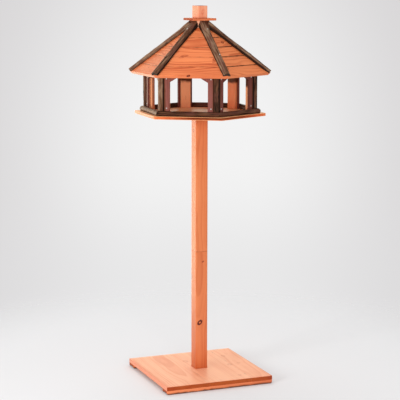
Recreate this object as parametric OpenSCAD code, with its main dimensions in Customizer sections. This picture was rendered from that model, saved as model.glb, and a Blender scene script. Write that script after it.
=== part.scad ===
// Hexagonal bird feeder on a square post.
// A board base on two battens carries a jointed post, and on it stands an open six-sided house
// with half-log trim under a boarded hip roof. Millimetres, +Z up, the origin lies on the ground
// under the middle of the base. Corners and faces are numbered 1 to 6 anticlockwise as seen from
// above: corner 1 points to the front (-Y), and face 1 lies between corners 1 and 2.

/* [Base] */
// Side of the square base board
base_w = 400; // [300:10:500]
// Thickness of the base board
base_t = 14; // [10:1:20]
// Width of each batten under the base board
batten_w = 45; // [30:1:70]
// Thickness of each batten
batten_t = 14; // [10:1:20]
// Radius of the rounded lower corners at the batten ends
batten_round = 6; // [2:0.5:9]
// Width of the bevel that eases the edges of the boards
ease = 1; // [0.4:0.1:2]

/* [Post] */
// Side of the square post
pole_w = 45; // [36:1:60]
// Height of the lower length of the post
pole_lower_h = 432; // [300:1:600]
// Height of the upper length of the post
pole_upper_h = 490; // [300:1:600]
// Diameter of the turned tenon that joins the two lengths
tenon_d = 20; // [14:1:24]
// Length of the tenon
tenon_h = 45; // [25:1:70]
// Chamfer round the rim of the joint between the two lengths
joint_chamfer = 0.6; // [0.3:0.1:2]
// Width of the bevel along the edges of the post
pole_ease = 1.5; // [0.5:0.5:5]

/* [House floor] */
// Distance from the middle of the floor to each of its corners
floor_r = 236; // [225:1:260]
// Thickness of the floor board
floor_t = 10; // [8:1:16]
// Turn of the whole house about the post, as it was put together
house_turn = -3; // [-5:0.5:5]

/* [Rails] */
// Diameter of the log that the floor rails are split from
rail_d = 20; // [16:1:26]
// Depth planed off under each rail, where it beds on the floor
rail_bed = 3; // [1:0.5:5]
// Depth planed off behind each rail, where it lies against the wall
rail_back = 1.5; // [0.5:0.5:4]
// Distance from the edge of the floor to the rails
rail_inset = 14; // [8:1:20]

/* [Walls] */
// Turn of the rails and walls on the floor, as they were put together
wall_turn = -1.5; // [-3:0.5:3]
// Thickness of the wall boards
wall_t = 6; // [4:1:12]
// Width of each opening between the wall boards
window_w = 134; // [110:1:140]
// Height of each opening above the floor
window_h = 136; // [120:1:140]
// Width of the sloping corner at the top of each opening
bracket_w = 36; // [15:1:45]
// Height of the sloping corner at the top of each opening
bracket_h = 21; // [10:1:40]

/* [Corners] */
// Diameter of the upright corner logs
log_d = 22; // [18:1:24]
// Distance that the middle of each corner log stands inside the corner of the walls
log_inset = 3.5; // [2:0.5:6]
// Depth planed off behind each corner log, where it bears on its post
log_flat = 0.5; // [0.2:0.1:1.5]
// Width of the flat posts inside the corners
post_w = 36; // [30:1:50]
// Thickness of the flat posts at their edges
post_t = 13; // [6:1:16]

/* [Roof] */
// Distance from the middle of the roof to each upper corner of the eaves
eave_r = 250.5; // [240:0.5:270]
// Height of the upper edge of the eaves above the floor
eave_h = 141; // [135:0.5:160]
// Slope of the roof faces in degrees
roof_pitch = 40.8; // [36:0.2:45]
// Thickness of the roof boards
panel_t = 12.5; // [8:0.5:15]
// Width of the lowest roof board, which is ripped down
eave_board_w = 44; // [30:1:60]
// Width of the other roof boards
board_w = 47.7; // [30:0.1:60]
// Width of the V groove between two boards
groove_w = 1.6; // [0.8:0.2:3]
// Depth of the V groove between two boards
groove_d = 1.2; // [0.6:0.2:2.4]
// Turn of the roof against the floor, as it was put together
roof_turn = 3; // [-4:0.5:4]

/* [Rafters] */
// Diameter at the foot of the log that each hip rafter is split from
rafter_d = 27; // [20:1:36]
// Diameter of that log at its upper end
rafter_top_d = 30; // [18:1:32]
// Depth of the middle of that log below the flat underside of the rafter
rafter_sink = 3; // [0:0.5:5]
// Roll of each rafter about the hip, towards the roof face against which it was nailed
rafter_roll = 14; // [0:1:16]
// Distance from the eaves to the lower end of each rafter, measured along the hip
rafter_short = 3; // [0:1:30]

/* [Peak] */
// Distance from the middle of the king post to its corners
king_r = 36; // [28:1:40]
// Length of the king post below the foot of the rafters' upper ends
king_drop = 60; // [40:1:90]
// Width of the bevel round the lower end of the king post
king_bevel = 6; // [2:1:12]
// Side of the square cap plate
cap_w = 89; // [80:1:110]
// Thickness of the cap plate
cap_t = 8; // [5:1:14]
// Side of the square block on the cap plate
block_w = 38.5; // [30:0.5:50]
// Height of the block on the cap plate
block_h = 43; // [30:0.5:60]
// Turn of the block on the cap plate
block_turn = 12.5; // [0:0.5:45]

/* [Fits] */
// Clearance left at a seam between two cut pieces
seam = 0.2; // [0.1:0.1:0.4]
// Clearance beside a rounded log
log_gap = 0.3; // [0.2:0.1:0.5]
// Clearance between the rafters and the cap plate, which rests on the king post
cap_gap = 0.5; // [0.3:0.1:0.9]
// Clearance of the tenon in its socket
tenon_gap = 0.3; // [0.2:0.1:0.6]

/* [Hidden] */
$fn = 96;
sides = 6;
half_angle = 180 / sides;
wall_heading = house_turn + wall_turn;
roof_heading = house_turn + roof_turn;
base_top = batten_t + base_t;
joint_z = base_top + pole_lower_h;
floor_z = joint_z + pole_upper_h;
deck_z = floor_z + floor_t;
rail_out = floor_r * cos(half_angle) - rail_inset;
wall_out = rail_out - rail_d + rail_back;
wall_in = wall_out - wall_t;
rail_top = deck_z + rail_d - rail_bed;
log_r = wall_out / cos(half_angle) - log_inset;
log_back = log_r - log_d / 2 + log_flat;
stud_edge = log_r * sin(half_angle) - log_d / 2 - log_gap;
post_side = (wall_in - post_w / 2 * sin(half_angle)) / cos(half_angle);
post_tip = (wall_in - log_back * cos(half_angle)) / sin(half_angle);
hip_pitch = atan(tan(roof_pitch) * cos(half_angle));
eave_a = eave_r * cos(half_angle);
eave_z = deck_z + eave_h;
panel_top_a = king_r + seam;
slope_len = (eave_a - panel_top_a) / cos(roof_pitch);
rafter_face = king_r * cos(half_angle) + seam;
rafter_crest = (rafter_top_d / 2 - (rafter_sink - seam) * cos(rafter_roll)) / cos(hip_pitch);
rafter_len = (eave_r - rafter_face) / cos(hip_pitch) - rafter_short;
cap_z = hip_z(rafter_face) + rafter_crest + cap_gap;
king_z = hip_z(rafter_face) - king_drop;
king_h = cap_z - king_z;
reach = 2 * eave_r;
// Length by which a cut runs past the piece it is made in
over = 1;

pine = "#F0946A";
pale_pine = "#FBB48E";
bark_brown = "#55432F";
mahogany = "#8A4A40";

// Height of the roof's outer surface on a hip, at distance r from the middle
function hip_z(r) = eave_z + (eave_r - r) * tan(hip_pitch);

// Height of the roof's outer surface in the middle of a face, at distance a from the middle
function face_z(a) = eave_z + (eave_a - a) * tan(roof_pitch);

// Diameter of a rafter log at a distance up from its foot
function rafter_dia(up) = rafter_d + (rafter_top_d - rafter_d) * up / rafter_len;

// Turns the +X direction to corner k of a hexagon, or to face k when half is true
module to_side(k, turn, half = false)
    rotate([0, 0, -90 + (k - 1) * 2 * half_angle + (half ? half_angle : 0) + turn])
        children();

// Upright prism between the two mitre planes of a face along +X, each drawn back by the gap
module mitre_wedge(gap, z_low, z_high) {
    start = gap / sin(half_angle);
    translate([0, 0, z_low])
        linear_extrude(z_high - z_low)
            polygon([
                [start, 0],
                [reach, (reach - start) * tan(half_angle)],
                [reach, -(reach - start) * tan(half_angle)]
            ]);
}

// Everything above the underside of the boards of the roof face towards +X
module above_boards()
    translate([eave_a, 0, eave_z])
        rotate([0, roof_pitch, 0])
            translate([-2 * reach, -reach, -panel_t - seam])
                cube([3 * reach, 2 * reach, reach]);

// The same for several roof faces, which lie the given numbers of half steps round from +X
module above_roof(half_steps)
    for (step = half_steps)
        rotate([0, 0, step * half_angle])
            above_boards();

// Rectangle about the origin with its corners cut off by a bevel
module eased_square(size, bevel)
    polygon([
        for (quarter = [0:3], first = [0, 1])
            let (
                sx = quarter == 0 || quarter == 3 ? 1 : -1,
                sy = quarter < 2 ? 1 : -1,
                on_x = (quarter % 2 == 0) == (first == 0)
            )
            [sx * (size[0] / 2 - (on_x ? 0 : bevel)), sy * (size[1] / 2 - (on_x ? bevel : 0))]
    ]);

// Board about the Z axis, standing on the XY plane, with all its edges eased
module eased_board(size)
    intersection() {
        linear_extrude(size[2])
            eased_square([size[0], size[1]], ease);
        translate([0, 0, size[2] / 2])
            rotate([90, 0, 0])
                linear_extrude(size[1], center = true)
                    eased_square([size[0], size[2]], ease);
        translate([0, 0, size[2] / 2])
            rotate([90, 0, 90])
                linear_extrude(size[0], center = true)
                    eased_square([size[1], size[2]], ease);
    }

module batten(y)
    translate([0, y, 0])
        rotate([90, 0, 0])
            linear_extrude(batten_w, center = true)
                difference() {
                    translate([-base_w / 2, 0])
                        square([base_w, batten_t]);
                    for (side = [-1, 1])
                        translate([side * (base_w / 2 - batten_round), batten_round])
                            difference() {
                                translate([side > 0 ? 0 : -2 * batten_round, -2 * batten_round])
                                    square(2 * batten_round);
                                circle(batten_round);
                            }
                }

module base_batten_front() color(pine) batten(-(base_w - batten_w) / 2);

module base_batten_back() color(pine) batten((base_w - batten_w) / 2);

module base_board()
    color(pale_pine)
        translate([0, 0, batten_t])
            eased_board([base_w, base_w, base_t]);

// Square length of post between two heights, with the rim of its jointed end chamfered
module pole_length(z_low, z_high)
    difference() {
        translate([0, 0, z_low])
            linear_extrude(z_high - z_low)
                eased_square([pole_w, pole_w], pole_ease);
        for (side = [0:3])
            rotate([0, 0, 90 * side])
                translate([pole_w / 2, 0, joint_z])
                    rotate([0, 45, 0])
                        cube([joint_chamfer * sqrt(2), 2 * pole_w, joint_chamfer * sqrt(2)],
                            center = true);
    }

module pole_lower()
    color(pine) {
        pole_length(base_top, joint_z);
        translate([0, 0, joint_z - over])
            cylinder(h = tenon_h + over, d = tenon_d);
    }

module pole_upper()
    color(pine)
        difference() {
            pole_length(joint_z, floor_z);
            translate([0, 0, joint_z - over])
                cylinder(h = tenon_h + over + tenon_gap, d = tenon_d + 2 * tenon_gap);
        }

module floor_board()
    color(pine)
        translate([0, 0, floor_z])
            to_side(1, house_turn)
                cylinder(h = floor_t, r = floor_r, $fn = sides);

// Section of a floor rail: a round log planed under and behind, grown all round by a gap
module rail_section(gap)
    intersection() {
        translate([rail_out - rail_d / 2, deck_z - rail_bed + rail_d / 2])
            circle(d = rail_d + 2 * gap);
        translate([wall_out - gap, deck_z])
            square(rail_d + 2 * gap);
    }

// Rail along the face towards +X, grown by a gap and drawn back from its mitre planes
module rail_log(gap, mitre_gap)
    intersection() {
        rotate([90, 0, 0])
            linear_extrude(2 * floor_r, center = true)
                rail_section(gap);
        mitre_wedge(mitre_gap, deck_z - over, rail_top + over);
    }

module floor_rail(k)
    color(bark_brown)
        to_side(k, wall_heading, half = true)
            rail_log(0, seam / 2);

// Outline of a wall board frame: two legs on the floor, and a head with sloping inner corners
module frame_outline()
    difference() {
        translate([-stud_edge, 0])
            square([2 * stud_edge, face_z(wall_in) - deck_z]);
        polygon([
            [-window_w / 2, -over],
            [-window_w / 2, window_h - bracket_h],
            [-window_w / 2 + bracket_w, window_h],
            [window_w / 2 - bracket_w, window_h],
            [window_w / 2, window_h - bracket_h],
            [window_w / 2, -over]
        ]);
    }

module wall_frame(k)
    color(mahogany)
        difference() {
            to_side(k, wall_heading, half = true)
                translate([wall_in, 0, deck_z])
                    rotate([90, 0, 90])
                        linear_extrude(wall_t)
                            frame_outline();
            to_side(k, roof_heading, half = true)
                above_roof([-2, 0, 2]);
        }

// The log stands on the floor, and its foot is scribed over the mitred rails
module corner_log(k)
    color(bark_brown)
        difference() {
            to_side(k, wall_heading)
                difference() {
                    translate([log_r, 0, deck_z])
                        cylinder(h = hip_z(log_back) - deck_z, d = log_d);
                    translate([log_back - log_d, -log_d, deck_z - over])
                        cube([log_d, 2 * log_d, hip_z(log_back) - deck_z + 2 * over]);
                    for (side = [-1, 1])
                        rotate([0, 0, side * half_angle])
                            rail_log(log_gap, -log_gap);
                }
            to_side(k, roof_heading)
                above_roof([-1, 1]);
        }

// Flat post whose back is bevelled to lie against the two wall frames
module corner_post(k)
    color(pine)
        difference() {
            to_side(k, wall_heading)
                translate([0, 0, deck_z])
                    linear_extrude(hip_z(post_side - post_t) - deck_z)
                        polygon([
                            [post_side - post_t, -post_w / 2],
                            [post_side, -post_w / 2],
                            [log_back, -post_tip],
                            [log_back, post_tip],
                            [post_side, post_w / 2],
                            [post_side - post_t, post_w / 2]
                        ]);
            to_side(k, roof_heading)
                above_roof([-1, 1]);
        }

// V groove along a board edge, cut into the plane under it
module groove()
    rotate([90, 0, 0])
        linear_extrude(reach, center = true)
            polygon([
                [-groove_w, groove_d],
                [0, -groove_d],
                [groove_w, groove_d]
            ]);

// Boarded roof face: its eave is cut square, its hips are mitred and its top is cut upright
module roof_panel(k)
    color(pine)
        to_side(k, roof_heading, half = true)
            intersection() {
                difference() {
                    translate([eave_a, 0, eave_z])
                        rotate([0, roof_pitch, 0])
                            difference() {
                                translate([-2 * slope_len, -reach / 2, -panel_t])
                                    cube([2 * slope_len, reach, panel_t]);
                                for (edge = [eave_board_w : board_w : slope_len - board_w / 2])
                                    translate([-edge, 0, 0])
                                        groove();
                            }
                    translate([panel_top_a - reach, -reach / 2, deck_z])
                        cube(reach);
                }
                mitre_wedge(seam / 2, deck_z, deck_z + reach);
            }

// Tapered split log along the hip. Its flat underside bears on the hip. It is rolled down towards the
// face on its far side from face 6, so that it stands up from the face on its near side.
module hip_rafter(k)
    color(bark_brown)
        to_side(k, roof_heading)
            difference() {
                translate([eave_r, 0, eave_z])
                    rotate([k > sides / 2 ? rafter_roll : -rafter_roll, hip_pitch, 0])
                        difference() {
                            translate([-rafter_short, 0, seam - rafter_sink])
                                rotate([0, -90, 0])
                                    cylinder(
                                        h = rafter_len + rafter_d,
                                        d1 = rafter_d,
                                        d2 = rafter_dia(rafter_len + rafter_d)
                                    );
                            translate([-reach, -rafter_d, seam - rafter_d])
                                cube([2 * reach, 2 * rafter_d, rafter_d]);
                        }
                translate([rafter_face - reach, -reach / 2, deck_z])
                    cube(reach);
            }

// Six-sided post whose faces take the upper ends of the rafters
module king_post()
    color(pine)
        translate([0, 0, king_z])
            to_side(1, roof_heading, half = true)
                intersection() {
                    cylinder(h = king_h, r = king_r, $fn = sides);
                    cylinder(h = king_h, r1 = king_r - king_bevel, r2 = king_r - king_bevel + king_h);
                }

module cap_plate()
    color(pine)
        translate([0, 0, cap_z])
            eased_board([cap_w, cap_w, cap_t]);

module top_block()
    color(pale_pine)
        translate([0, 0, cap_z + cap_t])
            rotate([0, 0, block_turn])
                eased_board([block_w, block_w, block_h]);

base_board();
base_batten_front();
base_batten_back();
pole_lower();
pole_upper();
floor_board();
for (k = [1:sides]) {
    floor_rail(k);
    wall_frame(k);
    corner_log(k);
    corner_post(k);
    roof_panel(k);
    hip_rafter(k);
}
king_post();
cap_plate();
top_block();
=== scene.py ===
"""Bird feeder on a square post, finished piece by piece in the order in which it is put together."""
import bpy
import numpy as np
from mathutils import Matrix, Vector


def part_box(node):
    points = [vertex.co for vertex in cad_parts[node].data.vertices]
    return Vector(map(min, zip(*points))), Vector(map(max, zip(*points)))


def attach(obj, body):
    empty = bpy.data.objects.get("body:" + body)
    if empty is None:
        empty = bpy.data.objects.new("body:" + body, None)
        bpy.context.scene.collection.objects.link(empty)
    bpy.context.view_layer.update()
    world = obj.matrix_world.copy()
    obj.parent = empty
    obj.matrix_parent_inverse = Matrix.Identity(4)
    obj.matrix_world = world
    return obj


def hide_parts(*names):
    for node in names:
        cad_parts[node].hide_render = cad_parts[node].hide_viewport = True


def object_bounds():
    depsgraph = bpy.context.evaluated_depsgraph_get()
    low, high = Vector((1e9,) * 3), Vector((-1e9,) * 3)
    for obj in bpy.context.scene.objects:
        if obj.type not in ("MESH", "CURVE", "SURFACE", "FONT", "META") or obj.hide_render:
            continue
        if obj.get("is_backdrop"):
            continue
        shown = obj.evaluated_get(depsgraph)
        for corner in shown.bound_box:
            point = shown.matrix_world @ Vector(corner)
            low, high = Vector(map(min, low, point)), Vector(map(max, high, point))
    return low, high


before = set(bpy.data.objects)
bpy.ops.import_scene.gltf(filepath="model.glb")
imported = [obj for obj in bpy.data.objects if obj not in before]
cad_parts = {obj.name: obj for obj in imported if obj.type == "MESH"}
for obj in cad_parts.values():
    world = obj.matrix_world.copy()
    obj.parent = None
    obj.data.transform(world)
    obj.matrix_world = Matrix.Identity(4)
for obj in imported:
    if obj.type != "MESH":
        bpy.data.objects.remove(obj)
cad_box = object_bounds()

# ---- Studio ----
# A pale floor that fades out into a softly lit backdrop. A broad lamp stands on the left, another
# one at the front, and a weaker one hangs behind, above the feeder.

scene = bpy.context.scene
scene.view_settings.view_transform = "Standard"


def srgb(red, green, blue):
    """Linear colour of an 8-bit one: c -> ((c / 255 + 0.055) / 1.055) ^ 2.4, with full alpha."""
    share = np.array([red, green, blue]) / 255
    return (*((share + 0.055) / 1.055) ** 2.4, 1.0)


def add_node(tree, kind, inputs=None, **settings):
    """Adds a shader node, sets its properties, and fills its inputs with values or with sockets."""
    made = tree.nodes.new("ShaderNode" + kind)
    for key, value in settings.items():
        setattr(made, key, value)
    for key, value in (inputs or {}).items():
        if isinstance(value, bpy.types.NodeSocket):
            tree.links.new(value, made.inputs[key])
        else:
            made.inputs[key].default_value = value
    return made


def maths(tree, operation, *values):
    """Output of a Math node on numbers or sockets."""
    return add_node(tree, "Math", dict(enumerate(values)), operation=operation).outputs[0]


def vector_maths(tree, operation, *values):
    """Output of a Vector Math node: a number for a length or a dot product, and else a vector."""
    output = "Value" if operation in ("LENGTH", "DOT_PRODUCT") else "Vector"
    return add_node(tree, "VectorMath", dict(enumerate(values)), operation=operation).outputs[output]


def ramp(tree, value, low, high, to_low=0.0, to_high=1.0):
    """Smooth step of a value: t = (value - low) / (high - low), and t^2 (3 - 2 t) between the results."""
    limits = {0: value, 1: low, 2: high, 3: to_low, 4: to_high}
    return add_node(tree, "MapRange", limits, interpolation_type="SMOOTHSTEP").outputs[0]


def blend(tree, share, first, second, mode="MIX"):
    """Output of a colour Mix node."""
    inputs = {0: share, 6: first, 7: second}
    return add_node(tree, "Mix", inputs, data_type="RGBA", blend_type=mode).outputs[2]


def new_material(name):
    """A material and its node tree, still empty."""
    material = bpy.data.materials.new(name)
    material.use_nodes = True
    material.node_tree.nodes.clear()
    return material, material.node_tree


view_turn = np.radians(-21.83)
view_tilt = np.radians(9.13)
view_roll = np.radians(0.1)
view_distance = 4.9
view_height = 1.431
view_place = (np.sin(view_turn) * view_distance, -np.cos(view_turn) * view_distance, view_height)
camera = bpy.data.objects.new("camera", bpy.data.cameras.new("camera"))
camera.data.lens = 125.0
camera.data.sensor_width = 36.0
camera.data.shift_x = 0.00125
camera.matrix_world = (
    Matrix.Translation(view_place)
    @ Matrix.Rotation(view_turn, 4, "Z")
    @ Matrix.Rotation(np.pi / 2 - view_tilt, 4, "X")
    @ Matrix.Rotation(view_roll, 4, "Z")
)
scene.collection.objects.link(camera)
scene.camera = camera

lamp_aim = Vector((0.0, 0.0, 0.75))
lamps = {
    "lamp_key": (Vector((-3.7, -1.8, 1.2)), 1.2, 72.0),
    "lamp_front": (Vector((-1.0, -4.1, 1.1)), 1.4, 58.0),
    "lamp_top": (Vector((0.2, 1.2, 3.2)), 1.6, 26.0),
}
for lamp_name, (place, side, watts) in lamps.items():
    lamp = bpy.data.objects.new(lamp_name, bpy.data.lights.new(lamp_name, "AREA"))
    lamp.data.size = side
    lamp.data.energy = watts
    lamp.visible_glossy = False
    lamp.location = place
    lamp.rotation_euler = (lamp_aim - place).to_track_quat("-Z", "Y").to_euler()
    scene.collection.objects.link(lamp)

# The backdrop glows in an oval, and has a faint band where it meets the floor. It is seen at full
# strength, lights the feeder with an even white, and mirrors in it as a warm light, strongest low down.
backdrop_grey = srgb(216, 214, 215)
glow_white = srgb(243, 243, 243)
glow_drop = 0.12
glow_flatness = 0.8
glow_edges = (0.03, 0.185)
band_grey = srgb(222, 221, 222)
band_drop = 0.215
band_reach = 0.09
band_share = 0.5
fill_white = (1.0, 1.0, 1.0, 1.0)
fill_strength = 0.72
mirror_warm = (0.92, 0.84, 0.66, 1.0)
mirror_way = (-0.26, 0.96, 0.08)
mirror_range = (0.12, 3.6)
backdrop = bpy.data.worlds.new("backdrop")
scene.world = backdrop
backdrop.use_nodes = True
sky = backdrop.node_tree
sky.nodes.clear()
gaze = add_node(sky, "TexCoord").outputs["Generated"]
sideways = vector_maths(sky, "DOT_PRODUCT", gaze, (np.cos(view_turn), np.sin(view_turn), 0.0))
upward = add_node(sky, "SeparateXYZ", {0: gaze}).outputs["Z"]
above = maths(sky, "MAXIMUM", maths(sky, "ADD", upward, glow_drop), 0.0)
above = maths(sky, "MULTIPLY", above, glow_flatness)
oval = vector_maths(sky, "LENGTH", add_node(sky, "CombineXYZ", {0: sideways, 1: above}).outputs[0])
glow = ramp(sky, oval, *glow_edges, 1.0, 0.0)
off_band = maths(sky, "ABSOLUTE", maths(sky, "ADD", upward, band_drop))
band = ramp(sky, off_band, 0.0, band_reach, 1.0, 0.0)
path = add_node(sky, "LightPath").outputs
colour = blend(sky, glow, backdrop_grey, glow_white)
colour = blend(sky, maths(sky, "MULTIPLY", band, band_share), colour, band_grey)
colour = blend(sky, path["Is Diffuse Ray"], colour, fill_white)
colour = blend(sky, path["Is Glossy Ray"], colour, mirror_warm)
seen = maths(sky, "MAXIMUM", path["Is Camera Ray"], path["Is Transmission Ray"])
mirror_side = ramp(sky, vector_maths(sky, "DOT_PRODUCT", gaze, mirror_way), 0.5, 0.95, *mirror_range)
mirrored = maths(sky, "MULTIPLY", mirror_side, ramp(sky, upward, 0.05, 0.4, 1.0, 0.3))
mirrored = maths(sky, "MULTIPLY", path["Is Glossy Ray"], mirrored)
level = maths(sky, "ADD", seen, mirrored)
level = maths(sky, "MULTIPLY_ADD", path["Is Diffuse Ray"], fill_strength, level)
backing = add_node(sky, "Background", {"Color": colour, "Strength": level}).outputs[0]
add_node(sky, "OutputWorld", {"Surface": backing})

# The floor is a disc that turns clear towards its rim, so that it has no edge of its own.
floor_radius = 1.7
floor_fade = (0.75, 1.6)
turn = np.linspace(0, 2 * np.pi, 64, endpoint=False)
rim = floor_radius * np.stack([np.cos(turn), np.sin(turn), 0 * turn], -1)
floor_mesh = bpy.data.meshes.new("floor")
floor_mesh.from_pydata(rim.tolist(), [], [list(range(len(rim)))])
paper, tree = new_material("paper")
spot = vector_maths(tree, "LENGTH", add_node(tree, "TexCoord").outputs["Object"])
matt = add_node(tree, "BsdfPrincipled", {"Base Color": srgb(232, 232, 233), "Roughness": 0.9})
matt.inputs["Specular IOR Level"].default_value = 0.1
clear = add_node(tree, "BsdfTransparent")
faded = {0: ramp(tree, spot, *floor_fade), 1: matt.outputs[0], 2: clear.outputs[0]}
add_node(tree, "OutputMaterial", {"Surface": add_node(tree, "MixShader", faded).outputs[0]})
floor = bpy.data.objects.new("floor", floor_mesh)
floor_mesh.materials.append(paper)
scene.collection.objects.link(floor)
floor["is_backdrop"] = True

# ---- Base ----
# A square panel of three wide pine boards, glued edge to edge and stained pale. Its sides soak up
# more stain and are darker. Two battens of orange pine run across underneath, to keep it flat, and
# have their lower corners rounded off.


def skin(name, surfaces):
    """One closed mesh from surfaces, each a grid of R rows by C columns of points with the values that
    its points keep, as {name: array}. Point (j, i) joins (j, i+1), (j+1, i+1) and (j+1, i) into a
    quad, with i+1 taken modulo C, and the first and last rows close on their own mean point."""
    points, quads, fans, kept, begin = [], [], [], {}, 0
    for grid, values in surfaces:
        rows, columns = grid.shape[:2]
        index = begin + np.arange(rows * columns).reshape(rows, columns)
        after = np.roll(index, -1, axis=1)
        foot = begin + rows * columns
        begin = foot + 2
        quads.append(np.stack([index[:-1], after[:-1], after[1:], index[1:]], -1).reshape(-1, 4))
        fans.append(np.stack([after[0], index[0], np.full(columns, foot)], -1))
        fans.append(np.stack([index[-1], after[-1], np.full(columns, foot + 1)], -1))
        hubs = [grid[0].mean(0)[None], grid[-1].mean(0)[None]]
        points.append(np.concatenate([grid.reshape(-1, 3), *hubs]))
        for key, value in values.items():
            spread = np.broadcast_to(value, (rows, columns) + np.shape(value)[2:])
            ends = [spread[0].mean(0).reshape(1, -1), spread[-1].mean(0).reshape(1, -1)]
            flat = np.concatenate([spread.reshape(rows * columns, -1), *ends])
            kept.setdefault(key, []).append(flat.astype(np.float32))
    points, quads, fans = np.concatenate(points), np.concatenate(quads), np.concatenate(fans)
    mesh = bpy.data.meshes.new(name)
    mesh.vertices.add(len(points))
    mesh.vertices.foreach_set("co", points.astype(np.float32).ravel())
    loops = np.concatenate([quads.ravel(), fans.ravel()])
    mesh.loops.add(len(loops))
    mesh.loops.foreach_set("vertex_index", loops.astype(np.int32))
    mesh.polygons.add(len(quads) + len(fans))
    starts = np.concatenate([np.arange(len(quads)) * 4, quads.size + np.arange(len(fans)) * 3])
    mesh.polygons.foreach_set("loop_start", starts.astype(np.int32))
    mesh.polygons.foreach_set("use_smooth", np.ones(len(quads) + len(fans), bool))
    mesh.update(calc_edges=True)
    mesh.set_sharp_from_angle(angle=np.radians(32))
    for key, parts in kept.items():
        data = np.concatenate(parts)
        kind, field = ("FLOAT", "value") if data.shape[1] == 1 else ("FLOAT_VECTOR", "vector")
        mesh.attributes.new(key, kind, "POINT").data.foreach_set(field, data.ravel())
    return mesh


def piece(name, surfaces, material, slot, *nodes):
    """Puts one piece, made of its surfaces and of a material, in the place of its CAD nodes."""
    made = bpy.data.objects.new(name, skin(name, surfaces))
    made.data.materials.append(material)
    scene.collection.objects.link(made)
    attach(made, "root")
    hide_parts(*nodes)


def box_of(node):
    """Lowest and highest corner of a CAD node's box."""
    low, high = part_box(node)
    return np.array(low), np.array(high)


def rectangle(low, high):
    """Corners of a rectangle from its lowest to its highest corner, anticlockwise."""
    return np.array([[low[0], low[1]], [high[0], low[1]], [high[0], high[1]], [low[0], high[1]]])


def rounded(outline, radius, side_points=3, arc_points=4):
    """An anticlockwise outline of corners, with each corner replaced by an arc of the given radius that
    touches both of its sides, and with points spread evenly along the sides between the arcs."""
    outline = np.asarray(outline, float)
    before, after = np.roll(outline, 1, 0) - outline, np.roll(outline, -1, 0) - outline
    before /= np.linalg.norm(before, axis=1, keepdims=True)
    after /= np.linalg.norm(after, axis=1, keepdims=True)
    half = np.arccos(np.clip((before * after).sum(1), -1, 1)) / 2
    middle = before + after
    middle /= np.linalg.norm(middle, axis=1, keepdims=True)
    centre = outline + middle * (radius / np.sin(half))[:, None]
    sweep = np.linspace(-1, 1, arc_points)[None] * (np.pi / 2 - half)[:, None]
    heading = np.arctan2(-middle[:, 1], -middle[:, 0])[:, None] + sweep
    arcs = centre[:, None] + radius * np.stack([np.cos(heading), np.sin(heading)], -1)
    share = np.linspace(0, 1, side_points + 2)[1:-1][None, :, None]
    sides = arcs[:, -1:] + share * (np.roll(arcs[:, :1], -1, 0) - arcs[:, -1:])
    return np.concatenate([arcs, sides], 1).reshape(-1, 2)


def carry(section, start, end, rows, ease):
    """Carries a closed section of points (p, q) along its own axis. Line i runs from start[i] to end[i],
    evenly spread, and over a length e at each end the section draws in as a quarter round:
    at s = e (1 - cos t) every point moves in by e (1 - sin t) towards the section's middle."""
    section = np.asarray(section, float)
    middle = (section.max(0) + section.min(0)) / 2
    half = (section.max(0) - section.min(0)) / 2
    t = np.linspace(0, np.pi / 2, 4)
    near, inset = ease * (1 - np.cos(t)), ease * (1 - np.sin(t))
    start, end = np.broadcast_to(start, len(section)), np.broadcast_to(end, len(section))
    share = np.linspace(0, 1, rows)[1:-1, None]
    body = start + ease + share * (end - start - 2 * ease)
    s = np.concatenate([start + near[:, None], body, end - near[::-1, None]])
    inset = np.concatenate([inset, np.zeros(rows - 2), inset[::-1]])
    drawn = middle + (section - middle) * (1 - inset[:, None, None] / half)
    return s, drawn[..., 0], drawn[..., 1]


def laid(grid, start, along, up):
    """Points start + s along + p across + q up of a grid (s, p, q), where across is up x along."""
    s, p, q = grid
    along, up = np.asarray(along, float), np.asarray(up, float)
    across = np.cross(up, along)
    return start + s[..., None] * along + p[..., None] * across + q[..., None] * up


def grain_of(grid, seed, depth=0.05, slope=0.03):
    """Place of each point in its own tree, as (s, p, q) from a pith that lies at that depth under the
    board's middle, in a direction of its own, and runs at a slight slope to the board."""
    s, p, q = grid
    p, q = p - p.mean(), q - q.mean()
    draw = np.random.default_rng(seed)
    pith = depth * draw.uniform(0.8, 1.5) * np.array([draw.uniform(-0.5, 0.5), -1.0])
    lean = draw.uniform(-slope, slope, 2)
    return np.stack([s + draw.uniform(0, 40), p - pith[0] + lean[0] * s, q - pith[1] + lean[1] * s], -1)


def lay_of(grid, along):
    """The way the timber runs, repeated for each point of a grid."""
    return np.broadcast_to(np.asarray(along, float), grid[0].shape + (3,))


def timber(grid, start, along, up, seed, tone, joint=1.0):
    """One length of timber, laid along its axis. Its points keep their place in the tree, how dark the
    stain is, which way the timber runs, and how far they are from a joint; on some pieces the same value
    says where shade is painted."""
    kept = {"grain": grain_of(grid, seed), "tone": tone, "lay": lay_of(grid, along), "joint": joint}
    return laid(grid, start, along, up), kept


def new_group(name, takes, gives):
    """An empty shader node group with the named inputs and outputs."""
    tree = bpy.data.node_groups.new(name, "ShaderNodeTree")
    for way, sockets in (("INPUT", takes), ("OUTPUT", gives)):
        for label, kind in sockets.items():
            tree.interface.new_socket(label, in_out=way, socket_type="NodeSocket" + kind)
    return tree, tree.nodes.new("NodeGroupInput").outputs, tree.nodes.new("NodeGroupOutput").inputs


def noise(tree, vector, scale, detail=2.0):
    """Value of a noise texture at a vector, each part of which is first multiplied by its own scale."""
    scaled = vector_maths(tree, "MULTIPLY", vector, scale)
    return add_node(tree, "TexNoise", {"Vector": scaled, "Scale": 1.0, "Detail": detail}).outputs[0]


def uneven(tree, vector, scale, detail=2.0):
    """The same noise less one half, so that it goes up and down from zero."""
    return maths(tree, "SUBTRACT", noise(tree, vector, scale, detail), 0.5)


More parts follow.
